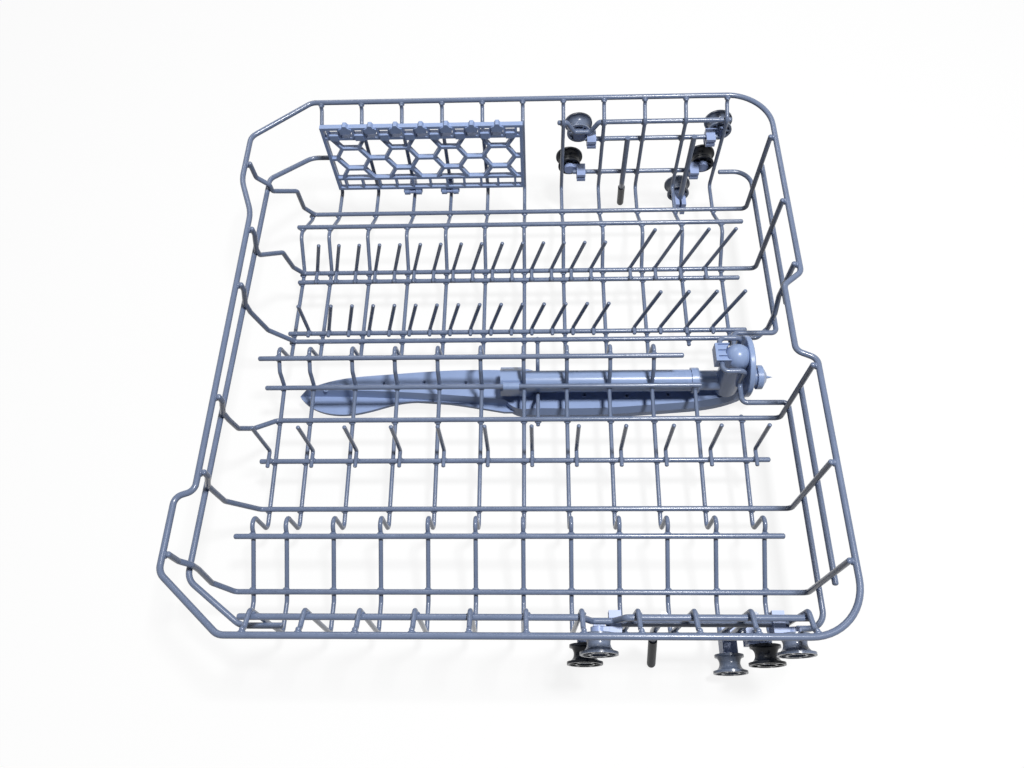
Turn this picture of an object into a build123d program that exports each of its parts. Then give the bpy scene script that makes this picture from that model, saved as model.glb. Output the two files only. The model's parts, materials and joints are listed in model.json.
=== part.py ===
"""Upper basket of a dishwasher: welded wires, rollers, spray arm with its feed, and a folding cup shelf.

Millimetres. +X points to the basket's back, +Y to the side wall with the cup shelf, +Z up.
"""
import math
import os

from build123d import *

os.makedirs("parts", exist_ok=True)

# Wire radii, and how welded wires meet
rim_r = 2.5
wire_r = 1.9
long_r = 2.3
carrier_r = 2.4
tine_r = 1.8
pin_r = 2.75
weld = 0.12
bend = 5.0
soft_bend = 9.0
riser_end = 1.2
upright_end = -0.4

# Rim
half_width = 256.0
front_x = -251.0
back_x = 251.0
rim_z = 155.0
far_cut_x = 54.0
near_cut_x = 51.0
front_cut_y = 44.0
front_step = 14.4
far_step_y = (158.0, 119.0)
near_step_y = (-149.5, -154.5)
rim_bend = 12.0
far_step_bend = 45.0
near_step_bend = 8.0
back_corner_r = 40.0
dock_gap_depth = 16.0
dock_gap_y = (46.0, 33.0, -31.0, -38.5)
dock_gap_bend = 8.0

# Cross wires: their spacing, the side walls and the three ridges of the floor
cross_pitch = 40.0
cross_mid_x = 12.5
full_cross_steps = range(-5, 4)
cut_cross_steps = (4, 5)
front_cross_gap = 28.5
wall_jog = 15.8
jog_top = 4.6
jog_foot = 12.0
near_lean = 4.0
floor_drop = 107.0
far_foot_in = 38.9
far_ridge_y = 156.0
far_ridge_h = 28.0
far_valley_y = 128.0
middle_foot_y = 24.0
middle_ridge_y = 16.5
middle_ridge_h = 38.5
middle_knee_y = -3.0
middle_knee_h = 25.0
middle_valley_y = -9.0
middle_valley_h = 6.5
near_ridge_y = -145.5
near_dip_h = -7.0
near_ridge_h = 43.5
near_shoulder_y = -159.0
near_shoulder_h = 25.5
near_ridge_bend = 6.0
near_foot_in = 25.9

# Long wires: where they lie across the floor
far_edge_in = 35.9
far_ridge_wire_y = 165.0
far_row_y = 123.3
far_row_pair_y = 112.2
middle_row_y = 51.0
middle_row_pair_y = 41.8
middle_ridge_wire_y = 5.3
tube_wire_y = -12.4
near_slope_y = -45.0
near_row_y = -84.3
near_low_y = -128.4
near_ridge_wire_y = -162.0
near_edge_in = 32.4

# Second and third levels of wire
front_wire_drop = 37.0
front_wire_side_drop = 51.0
front_wire_skew = 4.5
front_wire_bend = 14.0
back_upper_drop = 47.0
back_lower_drop = 85.0
riser_lean = 4.3
riser_foot = 6.0
far_riser_foot = 1.0
riser_rise = 8.0
riser_knee = 7.0
corner_knee = 18.0
dock_leg_y = 36.5
dock_leg_in = 41.0
dock_loop_gap = 2.6
dock_loop_rise = 24.0
dock_loop_in = 19.7

# Tines
tine_pitch = 20.0
tine_count = 15
tine_start_x = -200.0
tine_rise = 43.0
tine_lean = 12.0
long_tine_pitch = 25.3
long_tine_count = 4
long_tine_start_x = 119.5
long_tine_rise = 61.0
long_tine_lean = 18.0
tine_foot = 3.2
far_tine_back = -0.4
middle_tine_back = 1.6
bent_tine_lean = 1.0
near_tine_count = 12
near_tine_start_x = -220.0
near_tine_rise = 52.0
near_tine_foot = (-91.0, -75.5)
tine_bend = 2.4

# Roller wires, pins and rollers on each side wall
rail_drop = 16.5
rail_dip = 13.0
rail_dip_x = (60.0, 84.0)
rail_dip_bend = 4.0
rail_front_x = (48.0, -193.0)
rail_back_x = 217.0
upper_roller_drop = 39.0
lower_roller_drop = 87.0
bottom_roller_drop = 134.0
upper_wire_x = (76.0, 208.0)
lower_wire_x = (65.0, 197.5)
upper_roller_x = (69.0, 211.5)
lower_roller_x = (61.0, 202.5)
bottom_roller_x = 184.0
upper_grip_x = (81.5, 201.0)
lower_grip_x = (73.0, 192.5)
pin_top_drop = 33.0
stop_pin_x = 117.5
stop_tip_shift = 3.5
stop_knee_drop = 98.0
stop_tip_in = 4.0
sleeve_r = 3.7
sleeve_len = 42.0

# Roller and clip
roller_gap = 7.4
roller_w = 15.0
roller_flange_r = 14.2
roller_inner_r = 12.0
roller_waist_r = 8.6
roller_flange_t = 2.0
axle_r = 4.0
axle_clear = 0.05
head_r = 5.2
head_t = 1.6
head_pocket_r = 6.3
head_pocket = 3.2
outer_pocket_r = (7.8, 12.2)
inner_pocket_r = (6.0, 9.8)
pocket_depth = 2.2
spokes = 3
spoke_t = 1.6
play = 0.3
boss_r = 5.7
boss_t = 4.4
grip_w = 9.0
grip_h = 9.5
grip_wall = 6.5
grip_clear = 0.05
clip_slit = 2.4
arm_h = 9.0
lug_gap = 2.4
lug_t = 2.6
lug_reach = 8.0
pin_grip_w = 12.0
pin_grip_h = 17.0

# Spray arm and feed
hub_x = cross_mid_x
feed_drop = 111.0
tube_r = 10.5
tube_front = 8.0
tube_hold_back = 13.0
tube_hold_out = 7.5
tube_collar_x = 171.0
collar_r = 12.2
collar_w = 7.0
neck_r = 9.5
hub_neck_r = 9.5
spigot_r = 8.0
spigot_clear = 0.06
arm_gap = 5.0
arm_upper_h = 10.0
arm_lower_h = 8.0
arm_wing_h = 4.0
arm_reach = 224.0
arm_taper = 14.0
arm_hub_r = 22.0
nozzle_hole_r = 1.3
nut_r = 13.5
nut_t = 4.6
cap_len = 21.5
cap_grip = 7.0
cap_wall = 2.4
cap_ear_w = 15.0
cap_ear_wall = 1.5

# Dock
flange_x = 214.5
flange_t = 5.0
flange_r = 28.5
flange_drop = 83.7
elbow_r = 12.0
elbow_x = 206.0
elbow_foot = 12.0
dome_drop = 66.0
socket_depth = 10.0
latch_front = 184.5
latch_half = 9.0
latch_above = 5.5
latch_below = 7.0
rib_t = 1.6
rib_depth = 2.0
nozzle_drop = 105.5
nozzle_r = 8.5
nozzle_neck = 12.0
nozzle_ring_r = 11.5
nozzle_ring_t = 5.0
nozzle_end_r = 5.0
nozzle_end = 4.0
nozzle_pin_r = 1.8
nozzle_pin_len = 7.0

# Cup shelf
shelf_steps = (-5, 0)
shelf_t = 5.0
shelf_back_gap = 5.5
shelf_top_drop = 2.3
shelf_h = 89.0
rail_w = 3.2
top_ladder = 13.0
foot_ladder = 15.0
cell_bar = 3.0
cell_columns = 4
post_w = 2.2
post_half = 5.6
foot_post_pitch = 18.0
pad_w = 12.4
pad_foot_w = 10.4
pad_drop = 5.6
pad_rise = 4.4
pad_tip_w = 3.0
small_pad_w = 8.8
small_pad_rise = 4.0
pad_t = 1.2
hinge_steps = (-3, -2)
hinge_below = 5.5
hinge_pin_r = 2.0
hinge_clear = 0.06
knuckle_r = 4.2
knuckle_w = 5.5
hinge_block_w = 6.4
hinge_block_h = 12.0


def save(builder, name):
    """Label a finished piece and write its file."""
    builder.part.label = name
    export_step(builder.part, f"parts/{name}.step")


def bent_wire(points, radius, bends=bend):
    """A round wire along straight runs that are joined by bends."""
    with BuildPart() as wire:
        with BuildLine() as run:
            FilletPolyline(*points, radius=bends)
        with BuildSketch(Plane(origin=run.line @ 0, z_dir=run.line % 0)):
            Circle(radius)
        sweep(path=run.line)
    return wire


def rod(start, end, radius):
    """A straight round wire."""
    direction = Vector(*end) - Vector(*start)
    with BuildPart() as straight:
        with BuildSketch(Plane(origin=start, z_dir=direction)):
            Circle(radius)
        extrude(amount=direction.length)
    return straight


def copies(builder, places):
    """The same piece at several places, as one group of separate solids."""
    with BuildPart() as group:
        with Locations(*places):
            add(builder.part)
    return group


def together(builders):
    """Several finished pieces as one group of separate solids."""
    with BuildPart() as group:
        for builder in builders:
            add(builder.part)
    return group


def cross_x(step):
    """Place of a cross wire along the basket."""
    return cross_mid_x + step * cross_pitch


# Shared places, worked out from the sizes above
front_mid_x = front_x + front_step
floor_z = rim_z - floor_drop
upright_top_y = half_width - rim_r - wire_r + weld
wall_y = upright_top_y - wall_jog
carrier_y = wall_y + wire_r + carrier_r - weld
pin_y = carrier_y - carrier_r - pin_r + weld
roller_face_y = carrier_y + roller_gap
stop_tip_y = half_width - stop_tip_in
far_edge_y = wall_y - far_edge_in
near_edge_y = near_edge_in - wall_y
far_foot_y = wall_y - far_foot_in
near_foot_y = near_foot_in - wall_y
riser_back_x = back_x - rim_r - long_r + weld
back_wire_x = riser_back_x + long_r + carrier_r - weld
riser_front_x = front_mid_x + rim_r + long_r - weld
corner_riser_x = front_x + rim_r + long_r - weld
riser_wire_x = riser_front_x - riser_lean
front_wire_x = riser_wire_x - long_r - carrier_r + weld
feed_z = rim_z - feed_drop
arm_top_z = feed_z - tube_r - arm_gap
arm_split_z = arm_top_z - arm_upper_h
arm_bottom_z = arm_split_z - arm_lower_h

# Rim: one closed loop, cut at the front corners and let in round the dock
rim_corners = [
    (front_x + far_cut_x, half_width),
    (front_x, half_width - front_cut_y),
    (front_x, far_step_y[0]),
    (front_mid_x, far_step_y[1]),
    (front_mid_x, near_step_y[0]),
    (front_x, near_step_y[1]),
    (front_x, front_cut_y - half_width),
    (front_x + near_cut_x, -half_width),
    (back_x, -half_width),
    (back_x, dock_gap_y[3]),
    (back_x - dock_gap_depth, dock_gap_y[2]),
    (back_x - dock_gap_depth, dock_gap_y[1]),
    (back_x, dock_gap_y[0]),
    (back_x, half_width),
]
rim_bends = [rim_bend] * 2 + [far_step_bend] * 2 + [near_step_bend] * 2 + [rim_bend] * 2
rim_bends += [back_corner_r] + [dock_gap_bend] * 4 + [back_corner_r]
with BuildPart() as rim_wire:
    with BuildLine(Plane.XY.offset(rim_z)) as rim_run:
        FilletPolyline(*rim_corners, radius=rim_bends, close=True)
    with BuildSketch(Plane(origin=rim_run.line @ 0, z_dir=rim_run.line % 0)):
        Circle(rim_r)
    sweep(path=rim_run.line)
save(rim_wire, "rim_wire")

# Cross wires: the floor from the far wall to the near wall, as (y, z, bend)
floor_profile = [
    (wall_y, floor_z, bend),
    (far_foot_y, floor_z, soft_bend),
    (far_ridge_y, floor_z + far_ridge_h, soft_bend),
    (far_valley_y, floor_z, soft_bend),
    (middle_foot_y, floor_z, bend),
    (middle_ridge_y, floor_z + middle_ridge_h, bend),
    (middle_knee_y, floor_z + middle_knee_h, bend),
    (middle_valley_y, floor_z + middle_valley_h, bend),
    (near_ridge_y, floor_z + near_dip_h, near_ridge_bend),
    (near_ridge_y, floor_z + near_ridge_h, near_ridge_bend),
    (near_shoulder_y, floor_z + near_shoulder_h, near_ridge_bend),
    (near_foot_y, floor_z, soft_bend),
    (-wall_y, floor_z, bend),
]
wall_profile = [
    (upright_top_y, rim_z + upright_end, bend),
    (upright_top_y, rim_z - jog_top, bend),
    (wall_y, rim_z - jog_foot, bend),
]
far_wall = wall_profile
near_wall = [(-y, z, r) for y, z, r in reversed(wall_profile)]


def floor_at(y):
    """Height and slope of the cross wires' centre line at y."""
    for (y0, z0, _), (y1, z1, _) in zip(floor_profile, floor_profile[1:]):
        if y1 <= y <= y0 and y1 < y0:
            slope = (z1 - z0) / (y1 - y0)
            return z0 + slope * (y - y0), slope
    return floor_z, 0.0


def seat(y):
    """Height of a long wire that lies on the cross wires at y."""
    height, slope = floor_at(y)
    return height + (wire_r + long_r - weld) * math.hypot(1, slope)


def floor_between(start_y, end_y):
    """Floor points from start_y towards the near wall, as far as end_y."""
    inside = [point for point in floor_profile if end_y < point[0] < start_y]
    return [(start_y, floor_at(start_y)[0], bend), *inside, (end_y, floor_at(end_y)[0], bend)]


def cross_wire(profile, x=0.0):
    """A wire across the basket at x, whose upright at the near wall leans to the back."""
    points = []
    for y, z, _ in profile:
        share = max(z - floor_z, 0) / (rim_z - floor_z) if y <= -wall_y else 0
        points.append((x + near_lean * share, y, z))
    return bent_wire(points, wire_r, [r for _, _, r in profile[1:-1]])


whole_cross = cross_wire(far_wall + floor_profile + near_wall)
save(copies(whole_cross, [(cross_x(i), 0, 0) for i in full_cross_steps]), "cross_wires")

front_cross_x = cross_x(full_cross_steps[0]) - front_cross_gap
front_cross = floor_between(far_edge_y + 6, near_edge_y - 14)
save(cross_wire(front_cross, front_cross_x), "front_cross_wire")

# Behind the last whole cross wire the dock takes the middle of the floor
cut_far = far_wall + floor_profile[:1] + floor_between(wall_y - 1, middle_row_pair_y - 5)[1:]
cut_far_wire = cross_wire(cut_far)
save(copies(cut_far_wire, [(cross_x(i), 0, 0) for i in cut_cross_steps]), "back_cross_wires_far")
cut_near_wires = []
for step, start_y in zip(cut_cross_steps, (tube_wire_y + 2.5, near_slope_y + 4)):
    cut_near = floor_between(start_y, 1 - wall_y)[:-1] + floor_profile[-1:] + near_wall
    cut_near_wires.append(cross_wire(cut_near, cross_x(step)))
save(together(cut_near_wires), "back_cross_wires_near")

# Straight long wires: y, how far past the front cross wire, how far past the cross wire at the back
last_x = cross_x(cut_cross_steps[1])
straight_wires = {
    "floor_wire_far_ridge": (far_ridge_wire_y, 4.0, last_x + 20.5),
    "floor_wire_far_row": (far_row_pair_y, 2.5, last_x + 15.5),
    "floor_wire_middle_row": (middle_row_y, 4.0, last_x + 15.0),
    "floor_wire_middle_ridge": (middle_ridge_wire_y, 17.0, cross_x(full_cross_steps[-1]) + 25.5),
    "floor_wire_over_tube": (tube_wire_y, 15.5, cross_x(cut_cross_steps[0]) + 4.5),
    "floor_wire_near_row": (near_row_y, 12.0, last_x + 19.5),
    "floor_wire_near_ridge": (near_ridge_wire_y, 14.0, last_x + 14.5),
}
for name, (y, front_over, back_end) in straight_wires.items():
    save(rod((front_cross_x - front_over, y, seat(y)), (back_end, y, seat(y)), long_r), name)


def front_out(y):
    """How much further out than at its far end the front wire runs at y."""
    return front_wire_skew * (front_far_y - y) / (front_far_y - front_near_y)


def riser_top(y, top_x=riser_front_x, knee=riser_knee, foot=riser_foot):
    """The upper part of a front riser: against the front wire, then against the rim."""
    wire_x = riser_wire_x - front_out(y)
    return [
        (wire_x, y, rim_z - front_wire_drop - foot),
        (wire_x, y, rim_z - front_wire_drop + riser_rise),
        (top_x, y, rim_z - knee),
        (top_x, y, rim_z + riser_end),
    ]


def back_riser(y):
    """The straight riser at the back, from the rim down to the floor."""
    return [(riser_back_x, y, rim_z + riser_end), (riser_back_x, y, seat(y))]


# Second level of the front wall: where it turns at both front corners
front_side_y = wall_y - wire_r - carrier_r + weld
near_side_y = -carrier_y
front_far_y = front_side_y - 40
front_near_y = 32 - carrier_y
first_cross_x = cross_x(full_cross_steps[0])

# Long wires whose ends rise to the rim, each from the back riser to the front riser
dock_riser_y = dock_gap_y[0] + 8
dock_side_riser = [
    (riser_back_x, dock_riser_y, rim_z + riser_end),
    (riser_back_x, dock_riser_y, rim_z - back_upper_drop - 2),
    (riser_back_x, middle_row_pair_y + 5, rim_z - back_upper_drop - 20),
    (riser_back_x, middle_row_pair_y + 5, seat(middle_row_pair_y) + 9),
    (riser_back_x - 9, middle_row_pair_y, seat(middle_row_pair_y)),
]
far_riser_y = far_step_y[0] + 19
rising_wires = {
    "long_wire_far_edge": [
        *back_riser(far_edge_y),
        (front_cross_x + 3, far_edge_y, seat(far_edge_y)),
        (front_cross_x - 5, far_edge_y - 2, seat(far_edge_y) + 14),
        (front_cross_x - 3, far_edge_y - 7, rim_z - 57),
        *riser_top(far_riser_y, corner_riser_x, corner_knee, far_riser_foot),
    ],
    "long_wire_far_row": [
        *back_riser(far_row_y),
        (front_cross_x + 1, far_row_y, seat(far_row_y)),
        (front_cross_x - 6, far_row_y - 2, seat(far_row_y) + 14),
        (front_cross_x - 8, far_row_y - 5, rim_z - 60),
        *riser_top(far_row_y - 24, foot=far_riser_foot),
    ],
    "long_wire_middle_row": [
        *dock_side_riser,
        (front_cross_x + 3, middle_row_pair_y, seat(middle_row_pair_y)),
        (front_cross_x - 16, middle_row_pair_y - 2, rim_z - 77),
        *riser_top(middle_row_pair_y - 3),
    ],
    "long_wire_near_slope": [
        *back_riser(near_slope_y),
        (front_cross_x - 2, near_slope_y, seat(near_slope_y)),
        (front_cross_x - 16, near_slope_y - 15, rim_z - 84),
        (front_cross_x - 23, near_slope_y - 23, rim_z - 66),
        *riser_top(near_slope_y - 25),
    ],
    "long_wire_near_low": [
        *back_riser(near_low_y),
        (front_cross_x - 7, near_low_y, seat(near_low_y)),
        (front_cross_x - 24, near_low_y - 6, rim_z - 68),
        *riser_top(near_low_y - 6.5),
    ],
    "long_wire_near_edge": [
        *back_riser(near_edge_y),
        (front_cross_x - 14, near_edge_y, seat(near_edge_y)),
        (front_cross_x - 26, near_edge_y + 2, rim_z - 76),
        *riser_top(near_edge_y + 4.5, corner_riser_x, corner_knee),
    ],
}
for name, points in rising_wires.items():
    save(bent_wire(points, long_r), name)

# Front wire, round both front corners to the side walls
front_side_z = rim_z - front_wire_side_drop
front_level_z = rim_z - front_wire_drop
front_wire_points = [
    (first_cross_x + 3, front_side_y, front_side_z),
    (first_cross_x - 19, front_side_y, front_side_z),
    (front_wire_x, front_far_y, front_level_z),
    (front_wire_x - front_wire_skew, front_near_y, front_level_z),
    (first_cross_x - 16, near_side_y, front_side_z),
    (first_cross_x + 16, near_side_y, front_side_z),
]
save(bent_wire(front_wire_points, carrier_r, front_wire_bend), "front_wire")

# Second level of the back wall, in two lengths
back_upper_z = rim_z - back_upper_drop
upper_far = ((back_wire_x, far_edge_y + 8, back_upper_z), (back_wire_x, dock_gap_y[0] - 1, back_upper_z))
upper_near = ((back_wire_x, near_slope_y + 6, back_upper_z), (back_wire_x, near_edge_y - 5, back_upper_z))
save(rod(*upper_far, carrier_r), "back_upper_wire_far")
save(rod(*upper_near, carrier_r), "back_upper_wire_near")

# Third level of the back wall: round both corners, and in round the dock
lower_z = rim_z - back_lower_drop
loop_x = back_wire_x - dock_leg_in
loop_front_x = loop_x - dock_loop_in
loop_z = lower_z + dock_loop_rise
loop_y = elbow_r + carrier_r + dock_loop_gap
half_loop = [
    (back_wire_x, dock_leg_y, lower_z),
    (loop_x, dock_leg_y, lower_z),
    (loop_x, loop_y, lower_z),
    (loop_x, loop_y, loop_z),
    (loop_front_x, loop_y, loop_z),
]
lower_points = [
    (back_wire_x - 32, wall_y - 1, lower_z),
    (back_wire_x, wall_y - 1, lower_z),
    *half_loop,
    *[(x, -y, z) for x, y, z in reversed(half_loop)],
    (back_wire_x, 1 - wall_y, lower_z),
    (back_wire_x - 22, 1 - wall_y, lower_z),
]
lower_bends = [18.0] + [bend] * 10 + [14.0]
save(bent_wire(lower_points, carrier_r, lower_bends), "back_lower_wire")


def tine_row(wire_y, back, foot_y, start_x, pitch, count, rise, lean, first_lean):
    """Tines that stand on a long wire with a foot towards the near side, and lean to the back."""
    foot_z = seat(wire_y) + long_r + tine_r - weld
    tines = []
    for i in range(count):
        x = start_x + i * pitch
        points = [
            (x, foot_y - tine_foot, foot_z),
            (x, wire_y + back, foot_z),
            (x + (lean if i else first_lean), wire_y + back, foot_z + rise),
        ]
        tines.append(bent_wire(points, tine_r, tine_bend))
    return together(tines)


# Two leaning rows and the near row
short_tines = (tine_start_x, tine_pitch, tine_count, tine_rise, tine_lean)
long_tines = (long_tine_start_x, long_tine_pitch, long_tine_count, long_tine_rise, long_tine_lean)
far_row = (far_row_y, far_tine_back, far_row_pair_y)
middle_row = (middle_row_y, middle_tine_back, middle_row_y - long_r)
save(tine_row(*far_row, *short_tines, tine_lean), "far_tines")
save(tine_row(*far_row, *long_tines, long_tine_lean), "far_long_tines")
save(tine_row(*middle_row, *short_tines, bent_tine_lean), "middle_tines")
save(tine_row(*middle_row, *long_tines, long_tine_lean), "middle_long_tines")
near_foot_z = seat(near_row_y) + long_r + tine_r - weld
near_tine_points = [
    (0, near_tine_foot[0], near_foot_z),
    (0, near_tine_foot[1], near_foot_z),
    (0, near_tine_foot[1], near_foot_z + near_tine_rise),
]
near_tine = bent_wire(near_tine_points, tine_r, tine_bend)
near_places = [(near_tine_start_x + i * cross_pitch, 0, 0) for i in range(near_tine_count)]
save(copies(near_tine, near_places), "near_tines")

# Roller carriers on both side walls
sides = {"far": 1, "near": -1}
rail_z = rim_z - rail_drop
for (side, sign), rail_start in zip(sides.items(), rail_front_x):
    y = sign * carrier_y
    dip_z = rail_z - rail_dip
    rail_points = [
        (rail_start, y, rail_z),
        (rail_dip_x[0] - 4, y, rail_z),
        (rail_dip_x[0] + 4, y, dip_z),
        (rail_dip_x[1] - 4, y, dip_z),
        (rail_dip_x[1] + 4, y, rail_z),
        (rail_back_x, y, rail_z),
    ]
    save(bent_wire(rail_points, carrier_r, rail_dip_bend), f"rail_wire_{side}")
    for level, drop, ends in (
        ("upper", upper_roller_drop, upper_wire_x),
        ("lower", lower_roller_drop, lower_wire_x),
    ):
        z = rim_z - drop
        save(rod((ends[0], y, z), (ends[1], y, z), carrier_r), f"{level}_roller_wire_{side}")

# Pins that hang from the upper roller wires
pin_top_z = rim_z - pin_top_drop
bottom_z = rim_z - bottom_roller_drop
stop_pins = []
stop_sleeves = []
roller_pins = []
for sign in sides.values():
    knee = Vector(stop_pin_x, sign * pin_y, rim_z - stop_knee_drop)
    tip = Vector(stop_pin_x + stop_tip_shift, sign * stop_tip_y, sleeve_r)
    top = Vector(stop_pin_x, sign * pin_y, pin_top_z)
    stop_pins.append(bent_wire([top, knee, tip], pin_r, 12.0))
    back_along = (knee - tip).normalized()
    with BuildPart() as sleeve:
        with BuildSketch(Plane(origin=tip, z_dir=back_along)):
            Circle(sleeve_r)
        extrude(amount=sleeve_len)
        with Locations(tip):
            Sphere(sleeve_r)
        with BuildSketch(Plane(origin=tip, z_dir=back_along)):
            Circle(pin_r + grip_clear)
        extrude(amount=sleeve_len, mode=Mode.SUBTRACT)
    stop_sleeves.append(sleeve)
    pin_x = bottom_roller_x
    pin_foot = (pin_x, sign * pin_y, bottom_z - pin_grip_h / 2 + 3)
    roller_pins.append(rod((pin_x, sign * pin_y, pin_top_z), pin_foot, pin_r))
save(together(stop_pins), "stop_pins")
save(together(stop_sleeves), "stop_sleeves")
save(together(roller_pins), "roller_pins")

# Roller, turning about Y, with its inner face at the origin
with BuildPart() as roller:
    with BuildSketch(Plane.XY):
        with BuildLine():
            inner_lip = (roller_inner_r - 1.0, roller_flange_t)
            outer_lip = (roller_flange_r - 1.0, roller_w - roller_flange_t)
            Polyline((axle_r + axle_clear, 0), (roller_inner_r, 0), (roller_inner_r, roller_flange_t), inner_lip)
            ThreePointArc(inner_lip, (roller_waist_r, 0.45 * roller_w), outer_lip)
            Polyline(
                outer_lip,
                (roller_flange_r, roller_w - roller_flange_t),
                (roller_flange_r, roller_w),
                (head_pocket_r, roller_w),
                (head_pocket_r, roller_w - head_pocket),
                (axle_r + axle_clear, roller_w - head_pocket),
                (axle_r + axle_clear, 0),
            )
        make_face()
    revolve(axis=Axis.Y)
    for face_y, direction, radii in ((0, -1, inner_pocket_r), (roller_w, 1, outer_pocket_r)):
        with BuildSketch(Plane(origin=(0, face_y, 0), z_dir=(0, direction, 0))):
            Circle(radii[1])
            Circle(radii[0], mode=Mode.SUBTRACT)
            with PolarLocations(0, spokes):
                Rectangle(spoke_t, 2 * radii[1] + 1, mode=Mode.SUBTRACT)
        extrude(amount=-pocket_depth, mode=Mode.SUBTRACT)


# Axle of a clip: boss, axle and snap head, from the roller's inner face outwards
axle_end = roller_w - head_pocket + play
with BuildPart() as axle:
    for start, radius, length in (
        (-play - boss_t, boss_r, boss_t),
        (-play, axle_r, axle_end + play),
        (axle_end, head_r, head_t),
    ):
        with BuildSketch(Plane(origin=(0, start, 0), z_dir=(0, 1, 0))):
            Circle(radius)
        extrude(amount=length)

wire_back = roller_face_y - carrier_y
pin_back = roller_face_y - pin_y


def wire_clip(grip_dx):
    """Clip that grips a roller wire beside the roller and carries its axle."""
    grip_front = -wire_back - carrier_r - grip_wall
    grip_depth = -play - grip_front
    with BuildPart() as clip:
        add(axle.part)
        with Locations((grip_dx / 2, -play - boss_t / 2, 0)):
            Box(abs(grip_dx), boss_t, arm_h)
        with Locations((grip_dx, grip_front + grip_depth / 2, 0)):
            Box(grip_w, grip_depth, grip_h)
        with Locations((grip_dx, -play - boss_t / 2, -grip_h / 2 - lug_gap / 2 - lug_t / 2)):
            Box(grip_w - 2, boss_t, lug_gap + lug_t)
        with Locations((grip_dx, -play - lug_reach / 2, -grip_h / 2 - lug_gap - lug_t / 2)):
            Box(grip_w, lug_reach, lug_t)
        with BuildSketch(Plane(origin=(grip_dx - grip_w, -wire_back, 0), z_dir=(1, 0, 0))):
            Circle(carrier_r + grip_clear)
        extrude(amount=2 * grip_w, mode=Mode.SUBTRACT)
        with Locations((grip_dx, (grip_front - wire_back) / 2, 0)):
            Box(2 * grip_w, -wire_back - grip_front, clip_slit, mode=Mode.SUBTRACT)
    return clip


with BuildPart() as pin_clip:
    add(axle.part)
    pin_front = -pin_back - pin_r - grip_wall
    with Locations((0, (pin_front - play) / 2, 0)):
        Box(pin_grip_w, -play - pin_front, pin_grip_h)
    with BuildSketch(Plane(origin=(0, -pin_back, -pin_grip_h), z_dir=(0, 0, 1))):
        Circle(pin_r + grip_clear)
    extrude(amount=2 * pin_grip_h, mode=Mode.SUBTRACT)
    with Locations((0, (pin_front - pin_back) / 2, 0)):
        Box(clip_slit, -pin_back - pin_front, 2 * pin_grip_h, mode=Mode.SUBTRACT)


def on_side(sign, x, z):
    """Where a roller sits: its inner face against its clip, facing outwards."""
    return Location((x, sign * roller_face_y, z), (0, 0, 0 if sign > 0 else 180))


# Five rollers and five clips on each side
stations = {
    "upper_front": (upper_roller_x[0], upper_roller_drop, upper_grip_x[0]),
    "upper_back": (upper_roller_x[1], upper_roller_drop, upper_grip_x[1]),
    "lower_front": (lower_roller_x[0], lower_roller_drop, lower_grip_x[0]),
    "lower_back": (lower_roller_x[1], lower_roller_drop, lower_grip_x[1]),
    "bottom": (bottom_roller_x, bottom_roller_drop, None),
}
for side, sign in sides.items():
    clips = []
    for station, (x, drop, grip_x) in stations.items():
        place = on_side(sign, x, rim_z - drop)
        save(copies(roller, [place]), f"roller_{station}_{side}")
        clip = pin_clip if grip_x is None else wire_clip(sign * (grip_x - x))
        clips.append(copies(clip, [place]))
    save(together(clips), f"roller_clips_{side}")

# Spray arm: outline of one blade, which the other blade repeats half a turn round the hub
tip = -arm_reach
blade_line = [(-20, 23.5), (-85, 23), (tip + 83, 19), (tip + 39, 14), (tip + 14, 6), (tip, -2)]
channel_line = [(tip, -2), (tip + 103, -5), (-20, -14)]
leaf_tip = [(tip, -2), (tip + 20, -17.5), (tip + 45, -22), (tip + 73, -17.5), (tip + 101, -9.5)]
leaf_line = [*leaf_tip, (-85, -9), (-20, -20)]


def blades(lower_line, depth, z, taper=0.0):
    """Both blades between the blade line and a lower line, raised from a level."""
    with BuildPart() as pair:
        for turn in (0, 180):
            with BuildSketch(hub_plane(z).rotated((0, 0, turn))):
                with BuildLine():
                    Spline(*blade_line)
                    Spline(*lower_line)
                    Polyline(lower_line[-1], (0, lower_line[-1][1]), (0, blade_line[0][1]), blade_line[0])
                make_face()
            extrude(amount=depth, taper=taper)
    return pair.part


def hub_plane(z):
    """A level plane with its origin on the spray arm's axis."""
    return Plane.XY.offset(z).shift_origin((hub_x, 0, z))


with BuildPart() as spray_arm_upper:
    add(blades(channel_line, arm_upper_h, arm_split_z, taper=arm_taper))
    with BuildSketch(hub_plane(arm_split_z)):
        Circle(arm_hub_r)
    extrude(amount=arm_upper_h)
    with BuildSketch(hub_plane(arm_split_z)):
        Circle(spigot_r + spigot_clear)
    extrude(amount=arm_upper_h, mode=Mode.SUBTRACT)
    with BuildSketch(hub_plane(arm_split_z)):
        with PolarLocations(0, 2):
            with Locations((tip + 28, 1), (tip + 85, 7), (-99, 8), (-58, 7)):
                Circle(nozzle_hole_r)
    extrude(amount=arm_upper_h, mode=Mode.SUBTRACT)
save(spray_arm_upper, "spray_arm_upper")

with BuildPart() as spray_arm_lower:
    add(blades(leaf_line, -arm_wing_h, arm_split_z))
    add(blades(channel_line, -arm_lower_h, arm_split_z))
    with BuildSketch(hub_plane(arm_split_z)):
        Circle(arm_hub_r)
    extrude(amount=-arm_lower_h)
    with BuildSketch(hub_plane(arm_split_z)):
        Circle(spigot_r + spigot_clear)
    extrude(amount=-arm_lower_h, mode=Mode.SUBTRACT)
save(spray_arm_lower, "spray_arm_lower")

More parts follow.
